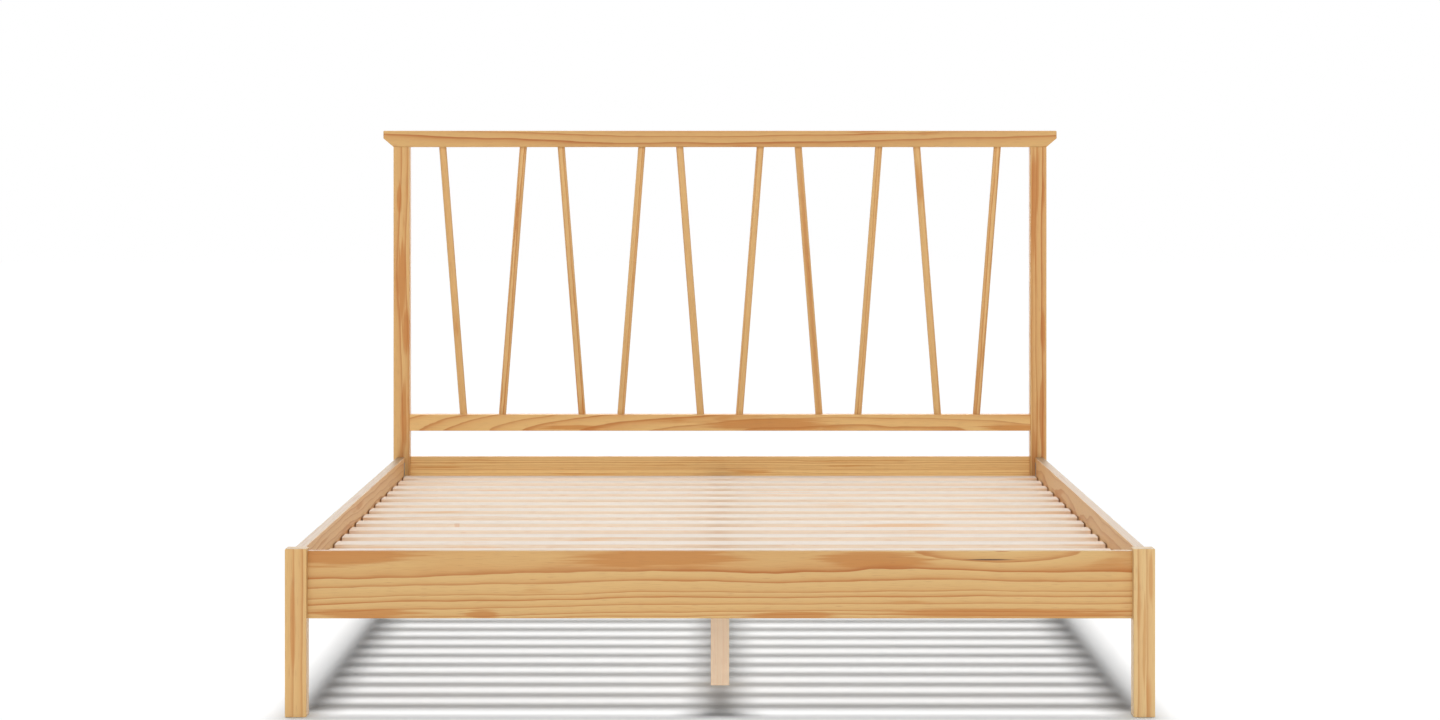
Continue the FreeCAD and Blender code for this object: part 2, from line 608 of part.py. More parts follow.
def make_hook_bracket(side, end):
    """A steel angle: a leaf let into the side rail, a flange with two hooks on the rail's end."""
    body = new_body(f"hook_bracket_{end_names[end]}_{side_names[side]}")
    plate = "Dims.plate_thickness"
    leaf_x = f"{side} * ({well_half} + {plate} / 2)"
    place = (f"{end} * {leaf_y}", leaf_z, leaf_x)
    block(body, "Pad", "leaf", "X", plate, "Dims.leaf_length", "Dims.leaf_height", *place)
    flange_width = "(Dims.rail_thickness - Dims.flange_margin)"
    flange_x = f"{side} * ({well_half} + {flange_width} / 2)"
    place = (flange_x, leaf_z, f"{end} * ({post_face} - {plate} / 2)")
    block(body, "Pad", "flange", "Y", plate, flange_width, "Dims.leaf_height", *place)
    neck_length = f"({plate} + Dims.hook_play + Dims.hook_nose)"
    neck_y = f"{end} * ({post_face} + {neck_length} / 2)"
    nose_y = f"{end} * ({post_face} + {neck_length} - Dims.hook_nose / 2)"
    nose_height = "(Dims.hook_neck + Dims.hook_drop)"
    rail_middle = f"{side} * {side_rail_x}"
    for number, rise in enumerate(hook_rises(), 1):
        size = (plate, neck_length, "Dims.hook_neck")
        block(body, "Pad", f"neck_{number}", "X", *size, neck_y, rise, rail_middle)
        size = (plate, "Dims.hook_nose", nose_height)
        nose_z = f"{rise} - Dims.hook_drop / 2"
        block(body, "Pad", f"nose_{number}", "X", *size, nose_y, nose_z, rail_middle)
    centres = [(f"{end} * {leaf_y}", f"{leaf_z} + {row} * Dims.leaf_screw_pitch") for row in (-1, 0, 1)]
    bores(body, "screw_holes", "X", "Dims.plate_screw_diameter", plate, centres, leaf_x)
    screw = ("Dims.plate_screw_diameter", "Dims.plate_screw_head")
    face = f"{side} * {well_half}"
    way = FreeCAD.Vector(side, 0, 0)
    for number, (y, z) in enumerate(centres, 1):
        countersink(body, f"head_seat_{number}", way, (face, y, z), *screw)


def make_slot_plate(side, end):
    """A flat plate let in flush behind the rail's end; the hooks drop into its slots."""
    y = f"{end} * ({post_face} + Dims.plate_thickness / 2)"
    label = f"slot_plate_{end_names[end]}_{side_names[side]}"
    body = new_body(label, f"{side} * {side_rail_x}", y, leaf_z)
    plate = "Dims.plate_thickness"
    block(body, "Pad", "plate", "Y", plate, "Dims.slot_plate_width", "Dims.slot_plate_height")
    slot_width = f"({plate} + 2 * Dims.slot_side_gap)"
    slot_height = "(Dims.hook_neck + Dims.hook_drop + Dims.slot_play)"
    slots = new_sketch(body, "slot_outlines", "Y", "0")
    for rise in hook_rises():
        slot_z = f"{rise} - Dims.hook_neck / 2 + {slot_height} / 2 - {leaf_z}"
        draw_rectangle(slots, slot_width, slot_height, "0", slot_z)
    extrude(body, "Pocket", "slots", slots, plate)
    centres = [("0", f"{way} * {slot_screw_rise}") for way in (-1, 1)]
    bores(body, "screw_holes", "Y", "Dims.plate_screw_diameter", plate, centres, "0")
    screw = ("Dims.plate_screw_diameter", "Dims.plate_screw_head")
    face = f"{-end} * {plate} / 2"
    way = FreeCAD.Vector(0, end, 0)
    for number, (x, z) in enumerate(centres, 1):
        countersink(body, f"head_seat_{number}", way, (x, face, z), *screw)


# Dowels, screws, studs and staples: one group for each kind.


def rod(name, place, direction, diameter, length):
    cylinder = doc.addObject("Part::Cylinder", name)
    cylinder.Placement.Rotation = FreeCAD.Rotation(direction_of["Z"], direction)
    set_place(cylinder, *place)
    cylinder.setExpression("Radius", f"{diameter} / 2")
    cylinder.setExpression("Height", length)
    return cylinder


def screw(name, place, direction, diameter, head_diameter, length):
    """A countersunk screw; its place is the middle of its head's flat face."""
    shank = rod(f"{name}_shank", place, direction, diameter, length)
    cone = doc.addObject("Part::Cone", f"{name}_head")
    cone.Placement.Rotation = FreeCAD.Rotation(direction_of["Z"], direction)
    set_place(cone, *place)
    cone.setExpression("Radius1", f"{head_diameter} / 2")
    cone.setExpression("Radius2", f"{diameter} / 2")
    cone.setExpression("Height", f"({head_diameter} - {diameter}) / 2")
    whole = doc.addObject("Part::Fuse", name)
    whole.Base = cone
    whole.Tool = shank
    return whole


def wire_bar(name, place, sizes):
    """A straight stretch of staple wire, centred on its place."""
    bar = doc.addObject("Part::Box", name)
    for side_name, size in zip(("Length", "Width", "Height"), sizes):
        bar.setExpression(side_name, size)
    set_place(bar, *[f"{middle} - ({size}) / 2" for middle, size in zip(place, sizes)])
    return bar


def group(label, pieces):
    compound = doc.addObject("Part::Compound", label)
    compound.Label = label
    compound.Links = pieces
    sub_parts.append(compound)


def make_rail_dowels():
    rows = [(end_rail_y[end], f"{rail_z} + {rise}") for end in (foot, head) for rise in end_rail_rises]
    rows += [(post_y, f"{mid_rail_z} + {rise}") for rise in mid_rail_rises]
    length = "Dims.dowel_in_post + Dims.dowel_in_rail"
    dowels = []
    for side in (left, right):
        start = f"{side} * ({post_inner} + Dims.dowel_in_post)"
        way = FreeCAD.Vector(-side, 0, 0)
        for y, z in rows:
            name = f"rail_dowel_{len(dowels) + 1}"
            dowels.append(rod(name, (start, y, z), way, "Dims.dowel_diameter", length))
    group("rail_dowels", dowels)


def make_cap_dowels():
    start = f"{cap_under} - Dims.cap_dowel_depth"
    length = "2 * Dims.cap_dowel_depth"
    dowels = []
    for side in (left, right):
        name = f"cap_dowel_{side_names[side]}"
        place = (f"{side} * {post_x}", post_y, start)
        dowels.append(rod(name, place, direction_of["Z"], "Dims.cap_dowel_diameter", length))
    group("cap_dowels", dowels)


def make_centre_leg_studs():
    start = f"{centre_rail_under} - Dims.stud_in_leg"
    length = "Dims.stud_in_leg + Dims.stud_in_rail"
    studs = []
    for number, y in enumerate(centre_leg_places(), 1):
        place = ("0", y, start)
        studs.append(rod(f"stud_{number}", place, direction_of["Z"], "Dims.stud_diameter", length))
    group("centre_leg_studs", studs)


def make_bracket_screws():
    kind = ("Dims.plate_screw_diameter", "Dims.plate_screw_head", "Dims.leaf_screw_length")
    screws = []
    for side in (left, right):
        x = f"{side} * {well_half}"
        way = FreeCAD.Vector(side, 0, 0)
        for end in (foot, head):
            for row in (-1, 0, 1):
                place = (x, f"{end} * {leaf_y}", f"{leaf_z} + {row} * Dims.leaf_screw_pitch")
                screws.append(screw(f"bracket_screw_{len(screws) + 1}", place, way, *kind))
    group("bracket_screws", screws)


def make_slot_plate_screws():
    kind = ("Dims.plate_screw_diameter", "Dims.plate_screw_head", "Dims.slot_screw_length")
    screws = []
    for side in (left, right):
        for end in (foot, head):
            for row in (-1, 1):
                z = f"{leaf_z} + {row} * {slot_screw_rise}"
                place = (f"{side} * {side_rail_x}", f"{end} * {post_face}", z)
                way = FreeCAD.Vector(0, end, 0)
                screws.append(screw(f"slot_screw_{len(screws) + 1}", place, way, *kind))
    group("slot_plate_screws", screws)


def make_frame_screws():
    """Cleats to side rails, blocks to end rails, centre rail to blocks."""
    places = []
    for side in (left, right):
        x = f"{side} * ({well_half} - Dims.ledger_width)"
        for number in range(int(value("Dims.ledger_screw_count"))):
            y = f"({number} / (Dims.ledger_screw_count - 1) - 1 / 2) * {ledger_screw_run}"
            places.append(((x, y, ledger_z), FreeCAD.Vector(side, 0, 0)))
    for end in (foot, head):
        y = f"{seat_y[end]} - {end} * Dims.seat_depth / 2"
        for side in (left, right):
            x = f"{side} * Dims.seat_screw_pitch / 2"
            places.append(((x, y, seat_z), FreeCAD.Vector(0, end, 0)))
        places.append((("0", seat_y[end], slat_under), -direction_of["Z"]))
    kind = ("Dims.frame_screw_diameter", "Dims.frame_screw_head", "Dims.frame_screw_length")
    screws = []
    for number, (place, way) in enumerate(places, 1):
        screws.append(screw(f"frame_screw_{number}", place, way, *kind))
    group("frame_screws", screws)


def make_tape_staples(slat_count):
    wire = "Dims.staple_wire"
    tape_under = f"({slat_under} - Dims.tape_thickness)"
    crown_z = f"{tape_under} - {wire} / 2"
    leg_height = f"({wire} + Dims.staple_leg)"
    leg_z = f"{tape_under} - {wire} + {leg_height} / 2"
    staples = []
    for number in range(1, slat_count + 1):
        for side in (left, right):
            name = f"staple_{number:02d}_{side_names[side]}"
            x = f"{side} * {tape_x}"
            bars = [wire_bar(f"{name}_crown", (x, slat_y(number), crown_z), ("Dims.staple_crown", wire, wire))]
            for way in (-1, 1):
                place = (f"{x} + {way} * {staple_leg_x}", slat_y(number), leg_z)
                bars.append(wire_bar(f"{name}_leg_{way + 2}", place, (wire, wire, leg_height)))
            staple = doc.addObject("Part::MultiFuse", name)
            staple.Shapes = bars
            staples.append(staple)
    group("tape_staples", staples)


# The whole bed.

pair_count = int(value("Dims.spindle_pairs"))
slat_total = int(value("Dims.slat_count"))

make_cap()
make_mid_rail()
for pair in range(pair_count):
    make_spindle(2 * pair + 1, pair, left)
    make_spindle(2 * pair + 2, pair, right)
make_end_rail("head_end_rail", head)
make_end_rail("foot_rail", foot)
for side in (left, right):
    make_head_post(side)
    make_foot_leg(side)
    make_side_rail(side)
    make_ledger(side)
    make_tape(side)
    for end in (foot, head):
        make_hook_bracket(side, end)
        make_slot_plate(side, end)
make_centre_rail()
for number, y in enumerate(centre_leg_places(), 1):
    make_centre_leg(number, y)
for end in (foot, head):
    make_seat(end)
for number in range(1, slat_total + 1):
    make_slat(number)
make_rail_dowels()
make_cap_dowels()
make_centre_leg_studs()
make_bracket_screws()
make_slot_plate_screws()
make_frame_screws()
make_tape_staples(slat_total)
doc.recompute()

# Nothing is written unless every feature is sound and every hole cuts something.

cutting_kinds = ("PartDesign::Pocket", "PartDesign::SubtractiveCone", "PartDesign::SubtractiveCylinder")
for thing in doc.Objects:
    if "Invalid" in thing.State or "Error" in thing.State:
        raise RuntimeError(f"{thing.Label} failed: {thing.State}")
    if thing.TypeId in cutting_kinds and thing.Shape.Volume >= thing.BaseFeature.Shape.Volume:
        raise RuntimeError(f"{thing.Label} cuts nothing")

for piece in sub_parts:
    if piece.Shape.isNull() or not piece.Shape.isValid():
        raise RuntimeError(f"{piece.Label} has no valid shape")

os.makedirs("parts", exist_ok=True)
for piece in sub_parts:
    piece.Shape.exportStep(f"parts/{piece.Label}.step")

print(len(sub_parts), "sub-parts written")
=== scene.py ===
import math

import bmesh
import bpy
from mathutils import Matrix, Vector


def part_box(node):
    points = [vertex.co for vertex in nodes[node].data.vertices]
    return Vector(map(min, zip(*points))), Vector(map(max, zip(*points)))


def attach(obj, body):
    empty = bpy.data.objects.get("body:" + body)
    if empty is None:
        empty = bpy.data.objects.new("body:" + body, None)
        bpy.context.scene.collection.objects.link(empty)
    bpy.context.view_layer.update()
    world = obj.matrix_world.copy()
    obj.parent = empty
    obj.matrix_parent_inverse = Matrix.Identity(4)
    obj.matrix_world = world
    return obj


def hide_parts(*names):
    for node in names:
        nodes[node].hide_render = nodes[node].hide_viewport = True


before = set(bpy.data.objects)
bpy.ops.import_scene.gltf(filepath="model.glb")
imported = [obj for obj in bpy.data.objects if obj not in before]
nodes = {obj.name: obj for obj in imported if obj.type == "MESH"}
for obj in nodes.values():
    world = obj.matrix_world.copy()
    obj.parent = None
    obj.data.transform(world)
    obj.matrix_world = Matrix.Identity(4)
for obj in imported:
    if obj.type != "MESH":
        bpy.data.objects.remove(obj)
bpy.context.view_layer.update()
print("frame loaded:", len(nodes), "nodes")


# Materials: a number that can be reckoned with, and a sheet of nodes to reckon on.


class Number:
    def __init__(self, finish, socket):
        self.finish = finish
        self.socket = socket

    def __add__(self, other):
        return self.finish.math("ADD", self, other)

    def __sub__(self, other):
        return self.finish.math("SUBTRACT", self, other)

    def __rsub__(self, other):
        return self.finish.math("SUBTRACT", other, self)

    def __mul__(self, other):
        return self.finish.math("MULTIPLY", self, other)

    def __truediv__(self, other):
        return self.finish.math("DIVIDE", self, other)

    def __pow__(self, other):
        return self.finish.math("POWER", self, other)

    __radd__ = __add__
    __rmul__ = __mul__


class Finish:
    def __init__(self, owner):
        # The owner is a material, or the world.
        self.owner = owner
        self.owner.use_nodes = True
        self.tree = self.owner.node_tree
        self.tree.nodes.clear()

    def node(self, kind, settings=None, inputs=None):
        made = self.tree.nodes.new("ShaderNode" + kind)
        for name, value in (settings or {}).items():
            setattr(made, name, value)
        for name, value in (inputs or {}).items():
            source = value.socket if isinstance(value, Number) else value
            if isinstance(source, bpy.types.NodeSocket):
                self.tree.links.new(source, made.inputs[name])
            else:
                made.inputs[name].default_value = source
        return made

    def math(self, operation, *values):
        made = self.node("Math", {"operation": operation}, dict(enumerate(values)))
        return Number(self, made.outputs[0])

    def smooth(self, value, low, high):
        # Nought at low, one at high, also where low is the greater.
        inputs = {"Value": value, "From Min": low, "From Max": high}
        made = self.node("MapRange", {"interpolation_type": "SMOOTHSTEP"}, inputs)
        return Number(self, made.outputs[0])

    def spread(self, value, low, high):
        return value * (high - low) + low

    def eitherWay(self, value, reach):
        return self.spread(value, 1 - reach, 1 + reach)

    def stretched(self, vector, perMetre):
        # Patterns repeat this often to the metre.
        inputs = {0: vector, 1: perMetre}
        return self.node("VectorMath", {"operation": "MULTIPLY"}, inputs).outputs[0]

    def noise(self, vector, perMetre, detail=2, roughness=0.5):
        inputs = {
            "Vector": self.stretched(vector, perMetre),
            "Scale": 1,
            "Detail": detail,
            "Roughness": roughness,
        }
        return Number(self, self.node("TexNoise", {}, inputs).outputs[0])

    def chances(self, value):
        made = self.node("TexWhiteNoise", {"noise_dimensions": "1D"}, {"W": value})
        return self.parts(made.outputs["Color"])

    def parts(self, vector):
        made = self.node("SeparateXYZ", {}, {0: vector})
        return [Number(self, socket) for socket in made.outputs]

    def whole(self, *values):
        return self.node("CombineXYZ", {}, dict(enumerate(values))).outputs[0]

    def mix(self, factor, first, second, blend="MIX"):
        settings = {"data_type": "RGBA", "blend_type": blend}
        return self.node("Mix", settings, {0: factor, 6: first, 7: second}).outputs[2]

    def bump(self, height, depth, strength=1.0):
        inputs = {"Height": height, "Distance": depth, "Strength": strength}
        return self.node("Bump", {}, inputs).outputs[0]

    def surface(self, inputs):
        shader = self.node("BsdfPrincipled", {}, inputs)
        self.node("OutputMaterial", {}, {"Surface": shader.outputs[0]})
        return self.owner


def newFinish(name):
    return Finish(bpy.data.materials.new(name))


def paint(red, green, blue):
    # From the 0 to 255 of a colour picker to the linear values that nodes take.
    parts = [part / 255 for part in (red, green, blue)]
    linear = [part / 12.92 if part < 0.04 else ((part + 0.055) / 1.055) ** 2.4 for part in parts]
    return (*linear, 1)


def dress(names, material):
    for name in names:
        nodes[name].material_slots[0].material = material


# Solid wood: growth rings round a pith that lies beside the board, cut by the board's faces.

axes = {"X": Vector((1, 0, 0)), "Y": Vector((0, 1, 0)), "Z": Vector((0, 0, 1))}

honey = {
    "early": paint(211, 170, 108),
    "late": paint(186, 117, 46),
    "line": paint(166, 90, 24),
    "amber": paint(184, 116, 46),
    "endGrain": paint(186, 172, 150),
    "fleck": paint(150, 92, 50),
    "crack": paint(60, 32, 16),
    "lineShare": 0.75,
    "roughness": 0.48,
    "gloss": 0.35,
    "coat": 0.1,
    "relief": 0.00012,
}

raw = {
    "early": paint(223, 212, 200),
    "late": paint(219, 195, 170),
    "line": paint(200, 150, 112),
    "amber": paint(218, 188, 158),
    "endGrain": paint(206, 172, 140),
    "fleck": paint(190, 140, 104),
    "crack": paint(150, 104, 70),
    "lineShare": 0.35,
    "roughness": 0.6,
    "gloss": 0.4,
    "coat": 0.0,
    "relief": 0.00016,
}

plainBoard = {
    "grain": "X",  # the axis along the fibres
    "face": "Z",  # the axis across the board's height
    "turn": 0,  # of both axes, round Y
    "pith": (0.03, 0.12),  # the trunk's middle, from the board's own
    "lean": (0.0, 0.0),
    "bow": (0.0, 0.0),
    "ring": 0.006,
    "phase": 0.0,
    "sway": 0.0018,
    "swayLength": 0.25,
    "sharpness": 1.8,
    "strength": 1.0,  # of the dark late wood
    "fade": 0.7,
    "amberLevel": 0.6,
    "amberLength": 3.2,  # flames to the metre
    "amberRings": 0.5,  # flames to the ring
    "amberDepth": 0.75,
    "seed": 1,
    "pitch": 0,  # of the boards in a row, each with its own place in the trunk
    "pithSpread": (0.03, 0.05),
    "knots": (),  # a place along and across, and a radius
    "flames": (),  # ovals: a place along and across, half a length, half a height
    "cracks": (),  # ovals, as flames are
    "swirl": None,  # an oval that the rings bend round, and how far
    "edge": None,  # painted light and shade: a tint of the two narrow sides, lighter or darker than the faces as the light falls on them
    # A colour over the whole board: partly the board's own tone, partly painted light and shade that
    # lightens boards standing in shade and darkens well-lit ones.
    "toneAndPaintedLight": (1, 1, 1),
}


def reachTo(finish, length, width, patch):
    # How far off an oval patch lies: below one inside it.
    along = (length - patch[0]) / patch[2]
    across = (width - patch[1]) / patch[3]
    return finish.math("SQRT", along * along + across * across)


def facing(finish, way):
    # One on the faces that look along this axis, either way.
    normal = finish.node("TexCoord").outputs["Normal"]
    cosine = finish.node("VectorMath", {"operation": "DOT_PRODUCT"}, {0: normal, 1: way}).outputs["Value"]
    return finish.smooth(finish.math("ABSOLUTE", cosine), 0.6, 0.9)


grain = {
    # How often each pattern repeats to the metre: along the fibres, across and into the board.
    "ripples": (11, 70, 70),
    "fading": (2.1, 12, 12),
    "fibres": (16, 620, 620),
    "fineFibres": (55, 2600, 2600),
    "clouds": (1.6, 7, 7),
    "flecks": (30, 1500, 1500),
    "streaks": (7, 240, 240),
    # How far the next seed or the next board of a row lies in each pattern.
    "seedLength": 7.31,
    "seedWidth": 1.7,
    "seedRings": 11.3,
    "seedFlames": 3.17,
    "seedRow": 3.7,
    "rowLength": 9,
    "rowSeed": 5,
    # How far the lines wander, in metres and in rings, and how each ring darkens to its edge.
    "rippleReach": 0.0017,
    "ringWander": 1.4,
    "ringWanderPace": 0.43,
    "faintestRing": 0.6,
    "lateWoodEnds": 0.955,
    "line": (0.7, 0.95),
    # Knots: how much longer along the board, and how far and how hard they bend the rings.
    "knotStretch": 0.6,
    "knotReach": 4,
    "knotPush": 1.2,
    "knotRagged": 0.004,
    "knotCore": 0.75,
    "knotRings": 2600,
    "knotRingShade": 0.15,
    "swirlHeight": 0.03,
    # Flames and cracks: how ragged, and where they start and are full.
    "streakReach": 1.5,
    "flameFibre": 0.16,
    "flameRing": 0.1,
    "flameBlend": 0.12,
    "flameEdge": (1.15, 0.65),
    "crackStreak": 0.4,
    "crackEdge": (1.1, 0.3),
    "fleckEdge": (0.66, 0.78),
    "fadingEdge": (0.3, 0.7),
    # Light and shade of the fibres, either way from one.
    "fibreShade": 0.07,
    "fineFibreShade": 0.035,
    "cloudShade": 0.06,
    # How much of its colour each mark gets.
    "fleckShare": 0.35,
    "crackShare": 0.95,
    "knotShare": 0.45,
    "endGrainShare": 0.6,
    # What each part adds to the relief and to the roughness.
    "fibreHeight": 0.6,
    "fineFibreHeight": 0.3,
    "lineHeight": 0.25,
    "fibreRoughness": 0.12,
    "lateRoughness": 0.05,
    "endRoughness": 0.15,
}


def placeOnBoard(finish, board, centre):
    # Metres along the fibres, across the height and into the board, from its middle.
    turn = Matrix.Rotation(board["turn"], 3, "Y")
    along = turn @ axes[board["grain"]]
    across = turn @ axes[board["face"]]
    toBoard = Matrix((along, across, along.cross(across)))
    mapping = {
        "Vector": finish.node("TexCoord").outputs["Object"],
        "Location": -(toBoard @ Vector(centre)),
        "Rotation": toBoard.to_euler(),
    }
    place = finish.parts(finish.node("Mapping", {}, mapping).outputs[0])
    return along, across, place


def distanceToPith(finish, board, place, pith):
    length, width, depth = place
    leanWidth, leanDepth = board["lean"]
    bowWidth, bowDepth = board["bow"]
    fromPithWidth = width - pith[0] - length * leanWidth - length * length * bowWidth
    fromPithDepth = depth - pith[1] - length * leanDepth - length * length * bowDepth
    return finish.math("SQRT", fromPithWidth * fromPithWidth + fromPithDepth * fromPithDepth)


def makeWood(name, look, changes, centre):
    board = {**plainBoard, **changes}
    finish = newFinish(name)
    along, across, (length, width, depth) = placeOnBoard(finish, board, centre)
    pith = board["pith"]
    seed = board["seed"]
    if board["pitch"]:
        row = finish.math("ROUND", width / board["pitch"])
        width = width - row * board["pitch"]
        first, second, third = finish.chances(row + seed * grain["seedRow"])
        length = length + first * grain["rowLength"]
        pithWidth = (second - 0.5) * board["pithSpread"][0] * 2 + pith[0]
        pithDepth = (third - 0.5) * board["pithSpread"][1] * 2 + pith[1]
        pith = (pithWidth, pithDepth)
        seed = first * grain["rowSeed"] + seed
    domain = finish.whole(length + seed * grain["seedLength"], width + seed * grain["seedWidth"], depth)

    # The ring number at this point of the trunk: rings sway, and bend round knots and the swirl.
    reach = 1 / board["swayLength"]
    sway = finish.noise(domain, (reach, reach * 4, reach * 4), 2, 0.4) - 0.5
    ripple = finish.noise(domain, grain["ripples"], 2) - 0.5
    radius = distanceToPith(finish, board, (length, width, depth), pith)
    radius = radius + sway * (board["sway"] * 3) + ripple * grain["rippleReach"]
    knotMask = None
    for knotLength, knotWidth, knotSize in board["knots"]:
        near = ((length - knotLength) * grain["knotStretch"]) ** 2 + (width - knotWidth) ** 2
        distance = finish.math("SQRT", near)
        bend = finish.smooth(distance, knotSize * grain["knotReach"], 0)
        radius = radius + bend * (knotSize * grain["knotPush"])
        ragged = distance + ripple * grain["knotRagged"]
        mask = finish.smooth(ragged, knotSize, knotSize * grain["knotCore"])
        knotMask = mask if knotMask is None else finish.math("MAXIMUM", knotMask, mask)
    if board["swirl"]:
        place = reachTo(finish, length, width, board["swirl"][:3] + (grain["swirlHeight"],))
        radius = radius + finish.smooth(place, 2, 0) * board["swirl"][3]
    ringNumber = radius / board["ring"] + board["phase"]
    pace = {"W": ringNumber * grain["ringWanderPace"], "Scale": 1, "Detail": 1}
    wander = finish.node("TexNoise", {"noise_dimensions": "1D"}, pace)
    ringNumber = ringNumber + Number(finish, wander.outputs[0]) * grain["ringWander"]

    # Each ring darkens into late wood, and breaks off at a line.
    ringIndex = finish.math("FLOOR", ringNumber)
    ringPart = ringNumber - ringIndex
    ringChance = finish.chances(ringIndex + board["seed"] * grain["seedRings"])
    ringStrength = finish.spread(ringChance[0], grain["faintestRing"], 1)
    edge = 1 - finish.smooth(ringPart, grain["lateWoodEnds"], 1)
    late = ringPart ** board["sharpness"] * edge * ringStrength
    line = finish.smooth(ringPart, *grain["line"]) * edge * ringStrength

    # Bands come and go along the board, and fibres streak it.
    fading = finish.smooth(finish.noise(domain, grain["fading"], 1), *grain["fadingEdge"])
    fading = finish.spread(fading, board["fade"], 1) * board["strength"]
    fibre = finish.noise(domain, grain["fibres"], 3, 0.6)
    fineFibre = finish.noise(domain, grain["fineFibres"], 2)
    cloud = finish.noise(domain, grain["clouds"], 2)
    fleckNoise = finish.noise(domain, grain["flecks"], 0)
    streak = (finish.noise(domain, grain["streaks"], 3, 0.6) - 0.5) * grain["streakReach"]

    # Amber heartwood shows in long flames that keep to the rings.
    flamePlace = finish.whole(length + seed * grain["seedFlames"], ringNumber, ripple * 0.5)
    flame = finish.noise(flamePlace, (board["amberLength"], board["amberRings"], 1), 2, 0.45)
    flame = flame + (fibre - 0.5) * grain["flameFibre"] + (ringPart - 0.5) * grain["flameRing"]
    amberShare = finish.smooth(flame, board["amberLevel"], board["amberLevel"] + grain["flameBlend"])
    for patch in board["flames"]:
        far = reachTo(finish, length, width, patch) + streak
        amberShare = finish.math("MAXIMUM", amberShare, finish.smooth(far, *grain["flameEdge"]))

    colour = finish.mix(amberShare * board["amberDepth"], look["early"], look["amber"])
    colour = finish.mix(late * fading, colour, look["late"])
    colour = finish.mix(line * fading * look["lineShare"], colour, look["line"])
    flecks = finish.smooth(fleckNoise, *grain["fleckEdge"])
    colour = finish.mix(flecks * grain["fleckShare"], colour, look["fleck"])
    for patch in board["cracks"]:
        far = reachTo(finish, length, width, patch) + streak * grain["crackStreak"]
        crack = finish.smooth(far, *grain["crackEdge"])
        colour = finish.mix(crack * grain["crackShare"], colour, look["crack"])
    if knotMask is not None:
        knotRing = finish.math("SINE", distance * grain["knotRings"]) * grain["knotRingShade"]
        knotRing = knotRing + (1 - grain["knotRingShade"])
        colour = finish.mix(knotMask * knotRing * grain["knotShare"], colour, look["line"])

    shade = finish.eitherWay(fibre, grain["fibreShade"])
    shade = shade * finish.eitherWay(fineFibre, grain["fineFibreShade"])
    shade = shade * finish.eitherWay(cloud, grain["cloudShade"])
    # Painted light and shade, with the board's own tone: one colour multiplies the whole board.
    red, green, blue = board["toneAndPaintedLight"]
    colour = finish.mix(1, colour, finish.whole(shade * red, shade * green, shade * blue), "MULTIPLY")
    # Painted light and shade: the two narrow sides get a tint of their own, lighter or darker than the
    # faces, standing for how the light falls on them.
    if board["edge"]:
        tint = finish.mix(facing(finish, across), (1, 1, 1, 1), board["edge"])
        colour = finish.mix(1, colour, tint, "MULTIPLY")

    # End grain drinks more of the finish.
    endShare = facing(finish, along)
    colour = finish.mix(endShare * grain["endGrainShare"], colour, look["endGrain"])

    height = fibre * grain["fibreHeight"] + fineFibre * grain["fineFibreHeight"]
    height = height + line * grain["lineHeight"]
    rough = (fibre - 0.5) * grain["fibreRoughness"] + (0.5 - late) * grain["lateRoughness"]
    rough = rough + endShare * grain["endRoughness"] + look["roughness"]
    return finish.surface({
        "Base Color": colour,
        "Roughness": rough,
        "Normal": finish.bump(height, look["relief"]),
        "Coat Weight": look["coat"],
        "Coat Roughness": 0.3,
        "Specular IOR Level": look["gloss"],
        "IOR": 1.42,
    })


def middle(name):
    low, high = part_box(name)
    return (low + high) / 2


sideRail = {
    "grain": "Y",
    "face": "Z",
    "sway": 0.005,
    "swayLength": 0.4,
    "strength": 0.6,
    "amberDepth": 0.6,
    # Painted light and shade: the whole board is made lighter and cooler, and the narrow-side tint
    # darkens its top and bottom faces again.
    "toneAndPaintedLight": (1.19, 1.23, 1.6),
    "edge": (0.46, 0.5, 0.57, 1),
}

